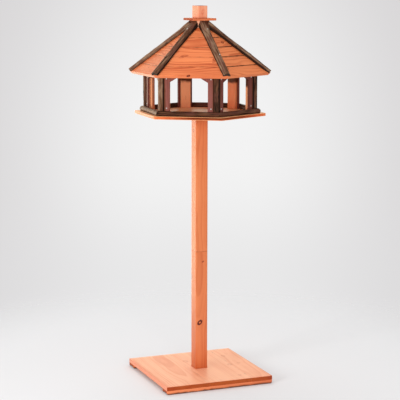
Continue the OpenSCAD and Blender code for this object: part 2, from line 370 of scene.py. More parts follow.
def wander(tree, value, pace):
    """Value of a noise texture along a single number, multiplied by a pace."""
    inputs = {"W": maths(tree, "MULTIPLY", value, pace), "Scale": 1.0, "Detail": 1.0}
    return add_node(tree, "TexNoise", inputs, noise_dimensions="1D").outputs[0]


# Growth rings round a pith that lies along the first part of the grain vector, in metres. Branches
# run out from the pith as knots, and the rings bend round them. The dark late wood of each ring, the
# fibres, the streaks and the patches add up to how far the stain goes from its early to its late colour.
# Branches stand so many to the metre and to the radian, and vary in size from the second value up.
branch_density = (6.0, 1.1)
knot_sizes = (0.035, 0.025)
knot_stain = (0.85, 0.32, 0.20, 1.0)
knot_heart = (0.18, 0.07, 0.02, 1.0)
ring_drift = 0.022
ring_bend = 0.006
stain_depth = 0.18
pine, take, give = new_group(
    "sawn_pine",
    {"Grain": "Vector", "Tone": "Float", "Early": "Color", "Late": "Color", "Ring": "Float",
     "Figure": "Float", "Knots": "Float", "Mark": "Float"},
    {"Color": "Color", "Height": "Float", "Roughness": "Float"},
)
parts = add_node(pine, "SeparateXYZ", {0: take["Grain"]}).outputs
lengthways = maths(pine, "MULTIPLY", parts["X"], branch_density[0])
roundways = maths(pine, "MULTIPLY", maths(pine, "ARCTAN2", parts["Y"], parts["Z"]), branch_density[1])
unrolled = add_node(pine, "CombineXYZ", {0: lengthways, 1: roundways}).outputs[0]
inputs = {"Vector": unrolled, "Scale": 1.0}
branch = add_node(pine, "TexVoronoi", inputs, voronoi_dimensions="2D").outputs
chance = add_node(pine, "SeparateColor", {0: branch["Color"]}).outputs
grown = maths(pine, "LESS_THAN", chance["Red"], take["Knots"])
knot_size = maths(pine, "MULTIPLY_ADD", chance["Green"], *knot_sizes)
apart = maths(pine, "DIVIDE", branch["Distance"], knot_size)
pull = maths(pine, "MULTIPLY", ramp(pine, apart, 0.0, 5.0, 1.0, 0.0), grown)
pull = maths(pine, "MAXIMUM", pull, maths(pine, "MULTIPLY", take["Mark"], 0.05))
from_pith = vector_maths(pine, "LENGTH", vector_maths(pine, "MULTIPLY", take["Grain"], (0, 1, 1)))
radius = maths(pine, "MULTIPLY_ADD", uneven(pine, take["Grain"], (3.5, 12, 12)), ring_drift, from_pith)
radius = maths(pine, "MULTIPLY_ADD", pull, ring_bend, radius)
growth = maths(pine, "DIVIDE", radius, take["Ring"])
season = maths(pine, "FRACT", maths(pine, "ADD", growth, wander(pine, growth, 0.6)))
late = maths(pine, "SUBTRACT", ramp(pine, season, 0.35, 0.9), ramp(pine, season, 0.92, 1.0))
year = ramp(pine, wander(pine, growth, 0.35), 0.3, 0.7, 0.25, 1.0)
fibre = uneven(pine, take["Grain"], (22, 900, 900), 3.0)
streak = uneven(pine, take["Grain"], (2.2, 45, 45), 3.0)
patch = uneven(pine, take["Grain"], (9, 14, 14))
tone = maths(pine, "SUBTRACT", take["Tone"], 0.5)
depth = maths(pine, "MULTIPLY", maths(pine, "MULTIPLY", late, year), take["Figure"])
for part, weight in ((fibre, 0.35), (streak, 0.9), (patch, 0.5), (tone, 0.5)):
    depth = maths(pine, "MULTIPLY_ADD", part, weight, depth)
shade = blend(pine, maths(pine, "ADD", depth, stain_depth), take["Early"], take["Late"])
knot = maths(pine, "MULTIPLY", ramp(pine, apart, 0.8, 1.15, 1.0, 0.0), grown)
knot_rim = maths(pine, "MULTIPLY_ADD", ramp(pine, apart, 0.6, 0.95), 0.6, 0.4)
knot = maths(pine, "MAXIMUM", maths(pine, "MULTIPLY", knot, knot_rim), take["Mark"])
heart = blend(pine, 1.0, take["Late"], blend(pine, knot, knot_stain, knot_heart), "MULTIPLY")
pine.links.new(blend(pine, knot, shade, heart), give["Color"])
raised = maths(pine, "ADD", maths(pine, "MULTIPLY", late, 0.5), maths(pine, "MULTIPLY", fibre, 0.7))
pine.links.new(maths(pine, "SUBTRACT", raised, maths(pine, "MULTIPLY", knot, 0.4)), give["Height"])
pine.links.new(maths(pine, "MULTIPLY_ADD", fibre, 0.2, 0.4), give["Roughness"])

# A knot or stain at a known place: a spot round a centre, as long, wide and high as its size, that
# leans to one side, has a ragged edge, and is paler in its heart.
spot_mark, take, give = new_group(
    "placed_knot", {"Place": "Vector", "Centre": "Vector", "Size": "Vector"}, {"Mask": "Float"}
)
mark_lean = -0.4
offset = vector_maths(spot_mark, "SUBTRACT", take["Place"], take["Centre"])
offset = vector_maths(spot_mark, "DIVIDE", offset, take["Size"])
offset = add_node(spot_mark, "SeparateXYZ", {0: offset}).outputs
leaning = maths(spot_mark, "MULTIPLY_ADD", offset["Z"], mark_lean, offset["X"])
offset = add_node(spot_mark, "CombineXYZ", {0: leaning, 1: offset["Y"], 2: offset["Z"]}).outputs[0]
wobble = uneven(spot_mark, offset, (1.3, 1.3, 1.3))
away = maths(spot_mark, "MULTIPLY_ADD", wobble, 0.5, vector_maths(spot_mark, "LENGTH", offset))
hollow = ramp(spot_mark, away, 0.28, 0.5, 0.1, 1.0)
mask = maths(spot_mark, "MULTIPLY", hollow, ramp(spot_mark, away, 0.9, 1.25, 1.0, 0.0))
spot_mark.links.new(mask, give["Mask"])


def carried(tree, name, output="Fac"):
    """An attribute that the mesh keeps at its points."""
    return add_node(tree, "Attribute", attribute_name=name).outputs[output]


def end_grain(tree, low, high):
    """Share of end grain: how far the surface's normal lies along the way the timber runs."""
    normal = add_node(tree, "NewGeometry").outputs["Normal"]
    along = vector_maths(tree, "DOT_PRODUCT", normal, carried(tree, "lay", "Vector"))
    return ramp(tree, maths(tree, "ABSOLUTE", along), low, high)


# Colour of the dark line at joints, also used for painted shade.
joint_stain = (0.13, 0.035, 0.012, 1.0)


def sawn(name, early, late, ring=0.004, figure=0.7, knots=0.2, soak=(0.62, 0.46, 0.38), marks=()):
    """Stained timber, with the colours of its early and late wood, the width of its rings, how strongly
    they show, the share of branches that left a knot, and by how much its end grain is darker. marks
    holds the centre, size and strength of known knots. Near a joint, stain gathers in a ragged line,
    and the same dark line paints shade where a piece asks for it."""
    material, tree = new_material(name)
    place = add_node(tree, "TexCoord").outputs["Object"]
    marked = 0.0
    for centre, size, strength in marks:
        inputs = {"Place": place, "Centre": centre, "Size": size}
        mask = add_node(tree, "Group", inputs, node_tree=spot_mark).outputs["Mask"]
        marked = maths(tree, "MAXIMUM", marked, maths(tree, "MULTIPLY", mask, strength))
    inputs = {
        "Grain": carried(tree, "grain", "Vector"), "Tone": carried(tree, "tone"), "Mark": marked,
        "Early": early, "Late": late, "Ring": ring, "Figure": figure, "Knots": knots,
    }
    wood = add_node(tree, "Group", inputs, node_tree=pine).outputs
    cut = end_grain(tree, 0.45, 0.85)
    colour = blend(tree, cut, wood["Color"], blend(tree, 1.0, wood["Color"], (*soak, 1.0), "MULTIPLY"))
    ragged = noise(tree, place, (40, 40, 40))
    ragged = maths(tree, "MULTIPLY_ADD", ragged, 0.004, carried(tree, "joint"))
    colour = blend(tree, ramp(tree, ragged, 0.0027, 0.005, 1.0, 0.0), colour, joint_stain)
    bump = add_node(tree, "Bump", {"Strength": 0.5, "Distance": 0.0004, "Height": wood["Height"]})
    dull = maths(tree, "MULTIPLY_ADD", cut, 0.4, wood["Roughness"])
    inputs = {"Base Color": colour, "Roughness": dull, "Normal": bump.outputs[0]}
    add_node(tree, "OutputMaterial", {"Surface": add_node(tree, "BsdfPrincipled", inputs).outputs[0]})
    return material


X, Y, Z = np.eye(3)
origin = np.zeros(3)
low, high = box_of("base_board")
base_seams = np.array([low[0], -0.040, 0.120, high[0]])
base_tones = (0.5, 0.35, 0.6)
side_tone = 1.2
seam_ease = 0.00015
seam_fill = 0.0021
base_ease = 0.0012
face_margin = 0.0005
# Centre, size and strength of each knot. The two wide ones are faint shades in the stain, and the
# last is on the block at the peak, which is of the same wood.
base_marks = [
    ((0.117, -0.010, 0.028), (0.010, 0.012, 0.010), 0.3),
    ((0.155, -0.003, 0.028), (0.006, 0.008, 0.010), 0.3),
    ((0.138, 0.105, 0.028), (0.007, 0.012, 0.010), 0.33),
    ((0.150, 0.199, 0.028), (0.006, 0.008, 0.010), 0.4),
    ((0.096, -0.150, 0.028), (0.006, 0.008, 0.010), 0.33),
    ((-0.020, 0.087, 0.028), (0.010, 0.014, 0.010), 0.27),
    ((-0.095, 0.110, 0.028), (0.028, 0.070, 0.010), 0.16),
    ((-0.035, -0.060, 0.028), (0.034, 0.060, 0.010), 0.09),
    ((0.004, -0.019, 1.310), (0.006, 0.010, 0.010), 0.3),
]
pale_pine = sawn(
    "pale_pine", srgb(255, 186, 148), srgb(234, 142, 104), ring=0.006, figure=0.6, knots=0.1,
    soak=(0.40, 0.15, 0.03), marks=base_marks,
)
strips = []
for number, (left, right) in enumerate(zip(base_seams[:-1], base_seams[1:])):
    section = rounded(rectangle((-right, low[2]), (-left, high[2])), seam_ease, 12)
    grid = carry(section, low[1], high[1], 24, base_ease / 3)
    tone = base_tones[number] + side_tone * (np.abs(section[:, 0]) > high[0] - face_margin)
    joint = np.abs(-section[:, :1] - base_seams[1:-1]).min(1) + seam_fill
    strips.append(timber(grid, origin, Y, Z, 31 + number, tone, joint))
piece("base_panel", strips, pale_pine, "pale_pine", "base_board")

# The battens are darker towards their right end, and shade is painted along their lower edges.
orange_pine = sawn("orange_pine", srgb(232, 134, 84), srgb(190, 86, 44), knots=0.25)
batten_round = 0.006
batten_tone, batten_end_tone = 0.5, 0.9
for number, place in enumerate(("front", "back")):
    low, high = box_of(f"base_batten_{place}")
    section = rounded(rectangle(low[1:], high[1:]), base_ease, 5)
    over_ground = section[:, 1] - low[2]
    drop = np.clip(batten_round - over_ground, 0, batten_round)
    cut = batten_round - np.sqrt(batten_round**2 - drop**2)
    grid = carry(section, low[0] + cut, high[0] - cut, 24, base_ease / 2)
    tone = batten_tone + batten_end_tone * np.clip((grid[0] - 0.06) / 0.1, 0, 1)
    lengths = [timber(grid, origin, X, Z, 41 + number, tone, 0.4 * over_ground)]
    piece(f"batten_{place}_rail", lengths, orange_pine, "orange_pine", f"base_batten_{place}")

# ---- Post ----
# Two lengths of planed square pine, stained orange and joined end to end by a hidden tenon, so that
# a fine line runs round the post below its middle. The lower length has a black-ringed knot.

pole_ease = 0.002
foot_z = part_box("pole_lower")[0][2]
joint_z, head_z = (corner[2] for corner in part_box("pole_upper"))
post_marks = [
    ((-0.007, -0.0225, 0.1995), (0.0088, 0.010, 0.0092), 1.0),
    ((0.005, -0.0225, 0.423), (0.004, 0.006, 0.003), 0.8),
    ((-0.0225, 0.016, 0.362), (0.006, 0.005, 0.010), 0.65),
    ((-0.0225, 0.002, 0.894), (0.006, 0.008, 0.007), 0.65),
]
post_pine = sawn(
    "post_pine", srgb(221, 126, 75), srgb(186, 86, 42), ring=0.005, figure=0.55, knots=0.0,
    marks=post_marks,
)
# The post is darker towards both ends, and the joint's line is finer on the left face.
end_tone = 1.2
end_reach = 0.045
post_lengths = {"lower": (foot_z, joint_z, 51, 0.5), "upper": (joint_z, head_z, 57, 0.42)}
for part, (bottom, top, seed, tone) in post_lengths.items():
    low, high = box_of(f"pole_{part}")
    grid = carry(rounded(rectangle(low, high), pole_ease, 4), bottom, top, 60, 0.0006)
    s, p = grid[:2]
    tone = tone + end_tone * np.exp(-np.minimum(s - foot_z, head_z - s) / end_reach)
    joint = np.abs(s - joint_z) + np.where(p < low[0] + pole_ease / 2, 0.0024, 0.0016)
    lengths = [timber(grid, origin, Z, Y, seed, tone, joint)]
    piece(f"post_{part}", lengths, post_pine, "orange_pine", f"pole_{part}")

# ---- House floor ----
# A six-sided pine board, a centimetre thick, sawn square all round and stained orange. It lies on
# top of the post and was put on slightly turned.

house_turn = -3.0
corner_angle = np.pi / 6


def bearing(corner, turn):
    """Level direction from the middle to a corner of a hexagon, or to a face halfway between two
    corners: at -90 + 60 (corner - 1) + turn degrees."""
    angle = np.radians(-90 + 60 * (corner - 1) + turn)
    return np.array([np.cos(angle), np.sin(angle), 0])


def corners(node):
    """The different vertices of a CAD node, to a hundredth of a millimetre."""
    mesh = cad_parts[node].data
    flat = np.zeros(len(mesh.vertices) * 3)
    mesh.vertices.foreach_get("co", flat)
    return np.unique(np.round(flat.reshape(-1, 3), 5), axis=0)


floor_ease = 0.001
deck_low, deck = (corner[2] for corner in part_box("floor_board"))
plan = corners("floor_board")
floor_reach = np.hypot(plan[:, 0], plan[:, 1]).max()
half_width = floor_reach * np.cos(corner_angle)
section = rounded(rectangle((-half_width, deck_low), (half_width, deck)), floor_ease, 25)
chord = floor_reach - np.abs(section[:, 0]) * np.tan(corner_angle)
tone = np.where(np.abs(section[:, 0]) > half_width - face_margin, 1.8, 0.0)
deck_pine = sawn(
    "deck_pine", srgb(255, 184, 128), srgb(226, 118, 66), knots=0.25, soak=(0.88, 0.82, 0.76)
)
grid = carry(section, -chord, chord, 30, floor_ease)
lengths = [timber(grid, origin, bearing(1, house_turn), Z, 61, tone)]
piece("house_floor", lengths, deck_pine, "orange_pine", "floor_board")

# ---- Floor rails ----
# Thin peeled logs, stained dark brown, that lie round the edge of the floor and keep the seed in.
# They are planed flat underneath and behind, and mitred at the corners.


def span(node, direction):
    """Lowest and highest reach of a CAD node along a direction."""
    reach = corners(node) @ direction
    return reach.min(), reach.max()


def toward(way):
    """The level direction to the left of a horizontal direction, seen from above."""
    return np.cross(Z, way)


def round_section(radius, points):
    """A circle of points (p, q), anticlockwise, and their angles."""
    angle = np.linspace(0, 2 * np.pi, points, endpoint=False)
    return radius * np.stack([np.cos(angle), np.sin(angle)], -1), angle


knot_spacing = 0.06
knot_height = 0.0008


def peeled(seed, angle, s, swell=0.00025, ridge=0.00012):
    """How far the surface of a peeled log lies inside a true cylinder, and how knotty it is there. The
    first is the sum of a cos(m angle + k s + c) over waves with random m, k and c: broad swells with
    m up to 3 and ridges with m up to 26. Each knot is a bump h exp(-d^2)."""
    draw = np.random.default_rng(seed)
    waves = ((6, swell, (0, 4), 40), (30, ridge, (5, 27), 30), (20, ridge, (1, 7), 220))
    depth = 0 * s
    for count, rms, turns, pace in waves:
        m = draw.integers(*turns, count)[:, None, None]
        k = draw.uniform(-pace, pace, (count, 1, 1))
        c = draw.uniform(0, 2 * np.pi, (count, 1, 1))
        depth = depth + rms * np.cos(m * angle + k * s + c).sum(0) * np.sqrt(2 / count)
    knots = 0 * s
    for _ in range(max(1, round((s.max() - s.min()) / knot_spacing))):
        round_place = draw.uniform(0, 2 * np.pi)
        long_place = draw.uniform(s.min(), s.max())
        wide = draw.uniform(0.002, 0.0045)
        apart = 0.012 * np.angle(np.exp(1j * (angle - round_place)))
        knots = knots + np.exp(-(apart / wide) ** 2 - ((s - long_place) / (1.4 * wide)) ** 2)
    return np.maximum(depth + 1.2 * swell, 0) - knot_height * knots, knots


# Brown stain over peeled wood: long streaks from dark to light, maroon in clouds, and dark on the
# knots. Shade is painted nearly black in the angle between a log and what it lies on. A cut end
# shows fine rings round the log's middle.
ring_density = 700.0
bark, take, give = new_group(
    "brown_stain",
    {"Grain": "Vector", "Tone": "Float", "Knot": "Float", "PaintedShade": "Float", "Cut": "Float"},
    {"Color": "Color", "Height": "Float", "Roughness": "Float"},
)
streak = uneven(bark, take["Grain"], (20, 190, 190), 3.0)
fibre = uneven(bark, take["Grain"], (60, 900, 900))
light = maths(bark, "MULTIPLY_ADD", streak, 2.6, take["Tone"])
light = maths(bark, "MULTIPLY_ADD", fibre, 0.7, light)
cloud = ramp(bark, noise(bark, take["Grain"], (28, 60, 60)), 0.44, 0.62, 0.0, 0.55)
shade_share = maths(bark, "MULTIPLY_ADD", streak, 0.8, take["PaintedShade"])
shade_share = ramp(bark, shade_share, 0.25, 0.75, 0.0, 0.92)
shade = blend(bark, ramp(bark, light, -0.1, 0.55), srgb(37, 20, 12), srgb(96, 59, 37))
shade = blend(bark, ramp(bark, light, 0.5, 1.2), shade, srgb(148, 116, 90))
shade = blend(bark, cloud, shade, srgb(106, 60, 48))
shade = blend(bark, maths(bark, "MULTIPLY", take["Knot"], 0.8), shade, srgb(32, 18, 12))
shade = blend(bark, shade_share, shade, srgb(26, 12, 8))
from_middle = vector_maths(bark, "LENGTH", vector_maths(bark, "MULTIPLY", take["Grain"], (0, 1, 1)))
rings = maths(bark, "FRACT", maths(bark, "MULTIPLY", from_middle, ring_density))
sawn_end = blend(bark, ramp(bark, rings, 0.4, 0.9), srgb(58, 40, 26), srgb(30, 19, 12))
bark.links.new(blend(bark, take["Cut"], shade, sawn_end), give["Color"])
bark.links.new(maths(bark, "MULTIPLY_ADD", fibre, 0.6, streak), give["Height"])
bark.links.new(maths(bark, "MULTIPLY_ADD", streak, 0.3, 0.5), give["Roughness"])

log_wood, tree = new_material("brown_log")
inputs = {
    "Grain": carried(tree, "grain", "Vector"), "Tone": carried(tree, "tone"),
    "Knot": carried(tree, "knot"), "PaintedShade": carried(tree, "painted_shade"), "Cut": end_grain(tree, 0.6, 0.9),
}
stain = add_node(tree, "Group", inputs, node_tree=bark).outputs
bump = add_node(tree, "Bump", {"Strength": 0.6, "Distance": 0.0006, "Height": stain["Height"]})
inputs = {"Base Color": stain["Color"], "Roughness": stain["Roughness"], "Normal": bump.outputs[0]}
surface = add_node(tree, "BsdfPrincipled", inputs)
surface.inputs["Specular IOR Level"].default_value = 0.35
add_node(tree, "OutputMaterial", {"Surface": surface.outputs[0]})


def log(name, node, grid, knots, painted_shade, start, along, up, seed, tone):
    """A peeled log, laid along its axis in the place of its CAD node. Its points keep their place in the
    log, how light the stain is, how knotty they are, and the share of painted shade."""
    s, p, q = grid
    kept = {
        "grain": np.stack([s + np.random.default_rng(seed).uniform(0, 40), p, q], -1),
        "tone": tone,
        "knot": np.clip(knots, 0, 1),
        "painted_shade": np.clip(painted_shade, 0, 1),
        "lay": lay_of(grid, along),
    }
    piece(name, [(laid(grid, start, along, up), kept)], log_wood, "brown_log", node)


mitre_gap = 0.0001
log_ease = 0.0006
rail_radius = 0.010
most_swell = 0.0004
rail_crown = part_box("floor_rail_1")[1][2]
rail_axis_z = rail_crown - rail_radius
rail_turn = house_turn - 1.5
face_way = {k: bearing(k + 0.5, rail_turn) for k in range(1, 7)}
rail_back, rail_front = span("floor_rail_1", face_way[1])
rail_middle = rail_front - rail_radius
rail_tones = (0.4, 0.2, 0.1, 0.1, 0.8, 0.25)
for k, out in face_way.items():
    circle, angle = round_section(rail_radius, 60)
    away = np.maximum(rail_middle + circle[:, 0], rail_back)
    half = away * np.tan(corner_angle) - mitre_gap
    s, p, q = carry(circle, -half, half, 110, log_ease)
    depth, knots = peeled(70 + k, angle[None], s)
    shrink = 1 - np.maximum(depth, -most_swell) / rail_radius
    p = np.maximum(p * shrink, rail_back - rail_middle)
    q = np.maximum(q * shrink, deck - rail_axis_z)
    # Shade is painted on the lower part of each rail, towards the floor.
    painted_shade = (-q / rail_radius - 0.1) / 0.6
    grid, start, tone = (s, p, q), out * rail_middle + Z * rail_axis_z, rail_tones[k - 1]
    log(f"rail_{k}", f"floor_rail_{k}", grid, knots, painted_shade, start, -toward(out), Z, 70 + k, tone)

# ---- Walls ----
# Six thin boards, stained mahogany, that stand on the floor and are screwed to the corner posts. Each
# has a wide opening whose upper corners slope, and its top follows the slope of the roof.

# The faces of the roof are planes that fall outwards from the peak. Places within touch are the same.
touch = 1e-4
roof_turn = house_turn + 3.0
roof_ways = np.array([bearing(k + 0.5, roof_turn) for k in range(1, 7)])
plan = corners("roof_panel_1")
reach = plan @ roof_ways[0]
eave_reach, crown_reach = reach.max(), reach.min()
eave_z, crown_z = plan[reach.argmax(), 2], plan[:, 2].max()
roof_pitch = np.arctan2(crown_z - eave_z, eave_reach - crown_reach)
roof_thickness = (crown_z - plan[reach < crown_reach + touch, 2].min()) * np.cos(roof_pitch)
roof_seam = 0.0002


def under_roof(points):
    """Height of the roof's underside over points: the lowest of its six sloping planes."""
    drop = (eave_reach - points[..., :2] @ roof_ways[:, :2].T) * np.tan(roof_pitch)
    return eave_z + drop.min(-1) - (roof_thickness + roof_seam) / np.cos(roof_pitch)


# A wall is an upside-down U. Its rows follow the U in seven stretches, between eight places on the
# edge of the opening and eight on the board's outer edge, and its section reaches across the board.
mahogany = sawn("mahogany", srgb(138, 78, 68), srgb(96, 42, 33), figure=0.5, knots=0.05)
# Each wall's tone also paints its light: the right wall is painted darker than the front one.
wall_tones_and_shade = (1.1, 0.8, 0.8, 0.8, 0.9, 0.25)
wall_ease = 0.0008
stretch_rows = (14, 5, 5, 8, 5, 5, 14)
stretches = [np.linspace(i, i + 1, rows, endpoint=False) for i, rows in enumerate(stretch_rows)]
steps = np.append(np.concatenate(stretches), len(stretch_rows))


def along_wall(*values):
    """Values at the eight places, spread evenly over the rows in between."""
    return np.interp(steps, np.arange(len(values)), values)[:, None]


for k, out in face_way.items():
    plan = corners(f"wall_frame_{k}")
    across, height = plan @ toward(out), plan[:, 2]
    inner, outer = (plan @ out).min(), (plan @ out).max()
    edge = across.max()
    opening = np.abs(across[height < deck + touch]).min()
    between_legs = (np.abs(across) < edge - 0.03) & (np.abs(across) > 0.005)
    head_z = height[between_legs].min()
    spring_z = height[(np.abs(np.abs(across) - opening) < touch) & (height > deck + 0.01)].min()
    flat = np.abs(across[np.abs(height - head_z) < touch]).max()
    slope, slope_z = (opening + flat) / 2, (spring_z + head_z) / 2
    section = rounded(rectangle((0, inner), (1, outer)), wall_ease, 5, 3)[::-1]
    share, away = section[:, 0], section[:, 1:] * out
    u_in = along_wall(-opening, -opening, -slope, -flat, flat, slope, opening, opening)
    z_in = along_wall(deck, spring_z, slope_z, head_z, head_z, slope_z, spring_z, deck)
    u_out = along_wall(-edge, -edge, -edge, -flat, flat, edge, edge, edge)
    z_side = along_wall(deck, *[spring_z] * 6, deck)
    under = under_roof(u_out[..., None] * toward(out) + away)
    z_out = z_side + along_wall(0, 0, 1, 1, 1, 1, 0, 0) * (under - z_side)
    u = u_in * (1 - share) + u_out * share
    z = z_in * (1 - share) + z_out * share
    # A painted shadow of the corner logs darkens each wall beside its outer edges, more widely on its
    # left seen from outside.
    kept = {
        "grain": np.stack([z + 7 * k, u + 0.03, np.broadcast_to(section[:, 1], u.shape) + 0.02], -1),
        "tone": wall_tones_and_shade[k - 1],
        "lay": lay_of((z,), Z),
        "joint": (edge - np.abs(u)) * np.where(u < 0, 0.45, 0.9),
    }
    grid = u[..., None] * toward(out) + away + z[..., None] * Z
    piece(f"wall_{k}", [(grid, kept)], mahogany, "mahogany_board", f"wall_frame_{k}")

# ---- Corners ----
# At each corner a peeled log, stained dark brown, stands outside and a flat pine post inside, and
# the walls end between them. The log's foot is scribed over the mitre of the rails. Both are cut to
# the slope of the roof.

log_gap = 0.0003
corner_pine = sawn("corner_pine", srgb(255, 172, 122), srgb(246, 136, 86), figure=0.6, knots=0.1)
log_tones = (0.2, 0.35, 0.3, 0.3, 0.45, 0.8)
log_shades = (0.35, 0.35, 0.3, 0.3, 0.05, 0.4)
post_tones = (0.5, -0.8, 1.3, -0.6, 0.0, 0.5)
post_heads = (0.0, 0.0, 0.0, 0.0, 0.006, 0.0)
# Shade is painted on the posts from a little under the eaves up, less on the left one. Shade is
# also painted on the front right log's right side.
head_shade = 0.038
for k in range(1, 7):
    ways = face_way[k], face_way[(k - 2) % 6 + 1]
    out = (ways[0] + ways[1]) / np.linalg.norm(ways[0] + ways[1])
    node = f"corner_log_{k}"
    left, right = span(node, toward(out))
    near, far = span(node, out)
    radius = (right - left) / 2
    middle = far - radius
    circle, angle = round_section(radius, 72)
    spots = np.maximum(circle[:, :1] + middle, near) * out + circle[:, 1:] * toward(out)
    foot = np.full(len(angle), deck)
    for away in (spots @ ways[0], spots @ ways[1]):
        lift = np.sqrt(np.maximum((rail_radius + log_gap) ** 2 - (away - rail_middle) ** 2, 0))
        foot = np.where(away > rail_back - log_gap, np.maximum(foot, rail_axis_z + lift), foot)
    s, p, q = carry(circle, foot, under_roof(spots), 130, log_ease)
    depth, knots = peeled(80 + k, angle[None], s)
    shrink = 1 - np.maximum(depth, -most_swell) / radius
    p, q = np.maximum(p * shrink, near - middle), q * shrink
    # Shade is painted on the inner side of each log, beside the walls.
    painted_shade = (log_shades[k - 1] - p / radius) / 0.3
    if k == 1:
        painted_shade = np.maximum(painted_shade, (q / radius - 0.1) / 0.4)
    grid, start, tone = (s, p, q), out * middle, log_tones[k - 1]
    log(f"corner_log_{k}_bark", node, grid, knots, painted_shade, start, Z, toward(out), 80 + k, tone)

    node = f"corner_post_{k}"
    plan = corners(node)
    plan = plan[plan[:, 2] < deck + touch, :2]
    spoke = plan - plan.mean(0)
    section = rounded(plan[np.argsort(np.arctan2(spoke[:, 1], spoke[:, 0]))], 0.001, 3)
    grid = carry(section, deck, under_roof(section), 60, 0.0004)
    # Shade is painted on each post's top, under the eaves.
    joint = (eave_z - head_shade - grid[0]) * 0.2 + post_heads[k - 1]
    lengths = [timber(grid, origin, Z, Y, 90 + k, post_tones[k - 1], joint)]
    piece(f"inner_post_{k}", lengths, corner_pine, "orange_pine", node)

# ---- Roof ----
# Each face is five pine boards laid level, edge to edge, stained orange and mitred at the hips. Their
# edges are rounded, and the lowest board is ripped a little narrower.

# How far up the slope from the eaves the seams are.
slope_length = (eave_reach - crown_reach) / np.cos(roof_pitch)
seams = [0.0, 0.044, 0.0917, 0.1394, 0.1871, slope_length]
board_ease = 0.0013
roof_marks = [
    ((-0.100, -0.109, 1.164), (0.014, 0.010, 0.003), 0.5),
    ((-0.112, -0.108, 1.158), (0.010, 0.008, 0.002), 0.35),
    ((-0.116, -0.185, 1.100), (0.006, 0.006, 0.006), 1.0),
    ((0.053, -0.079, 1.206), (0.007, 0.006, 0.005), 0.9),
    ((-0.020, -0.179, 1.146), (0.005, 0.005, 0.004), 0.5),
    ((-0.120, -0.080, 1.176), (0.013, 0.009, 0.003), 0.4),
    ((-0.015, -0.171, 1.154), (0.006, 0.006, 0.005), 0.6),
    ((-0.057, -0.102, 1.187), (0.011, 0.009, 0.002), 0.3),
]
roof_pine = sawn(
    "roof_pine", srgb(240, 138, 84), srgb(190, 84, 42), figure=0.72, knots=0.25, marks=roof_marks
)
# The faces' tones also paint their light: the right front face is lighter than the front one, and the
# left one darker.
roof_tones_and_shade = (0.12, 0.5, 0.5, 0.5, 0.85, 0.6)
joint_fills = (0.0, 0.0003, 0.0003, 0.0003, 0.0008, 0.0013)
top_board = len(seams) - 2
for k, out in enumerate(roof_ways, 1):
    normal = out * np.sin(roof_pitch) + Z * np.cos(roof_pitch)
    draw = np.random.default_rng(100 + k)
    lengths = []
    for number, (lower, upper) in enumerate(zip(seams[:-1], seams[1:])):
        lean = roof_thickness * np.tan(roof_pitch) if number == top_board else 0.0
        outline = [[lower, -roof_thickness], [upper - lean, -roof_thickness], [upper, 0], [lower, 0]]
        section = rounded(outline, board_ease, 6)
        up_slope, over_roof = section[:, 0], section[:, 1]
        away = eave_reach - up_slope * np.cos(roof_pitch) + over_roof * np.sin(roof_pitch)
        half = away * np.tan(corner_angle) - mitre_gap
        grid = carry(section, -half, half, 30, 0.0004)
        tone = roof_tones_and_shade[k - 1] + draw.uniform(-0.15, 0.15)
        below = up_slope - lower if number else np.ones(len(section))
        above = upper - up_slope if number < top_board else np.ones(len(section))
        joint = np.minimum(below, above) + joint_fills[k - 1]
        start = out * eave_reach + Z * eave_z
        lengths.append(timber(grid, start, toward(out), normal, 110 + 10 * k + number, tone, joint))
    piece(f"roof_face_{k}", lengths, roof_pine, "roof_board", f"roof_panel_{k}")

# ---- Rafters ----
# Half logs, stained dark brown, that cover the hips, flat underneath and a little thicker at the top,
# where they end against the king post. Two screws hold each, but the front left one has one screw
# and the stub of a branch.

hip_reach = eave_reach / np.cos(corner_angle)
hip_pitch = np.arctan(np.tan(roof_pitch) * np.cos(corner_angle))
# A log's radius at either end, how high above its middle it is planed flat, how far it is rolled to
# its far side, which is the one away from the front, and where on the hip it starts.
rafter_foot, rafter_top = 0.0135, 0.015
rafter_sink = 0.003
rafter_roll = np.radians(14)
rafter_start = 0.003
rafter_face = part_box("king_post")[1][0] * np.cos(corner_angle) + roof_seam
rafter_length = (hip_reach - rafter_face) / np.cos(hip_pitch)
rafter_tones = (0.8, 0.8, 0.5, 0.5, 1.0, 0.6)
# How high each crown is, how wide its near side and how steep the flat under it, and where and how
# strongly shade is painted on either side.
crown_heights = (1.0, 0.84, 1.0, 1.0, 0.95, 1.0)
near_flares = (1.0, 1.5, 1.0, 1.0, 1.25, 1.0)
flank_slopes = (0.45, 0.72, 0.45, 0.45, 0.5, 0.45)
far_shades = (0.75, 0.9, 0.5, 0.5, 0.92, 0.7)
near_shades = (0.2, 0.1, 0.1, 0.1, 0.1, 0.3)
near_shade_strengths = (0.75, 0.7, 0.5, 0.5, 0.45, 1.0)
stub_place, stub_height = 0.097, 0.004
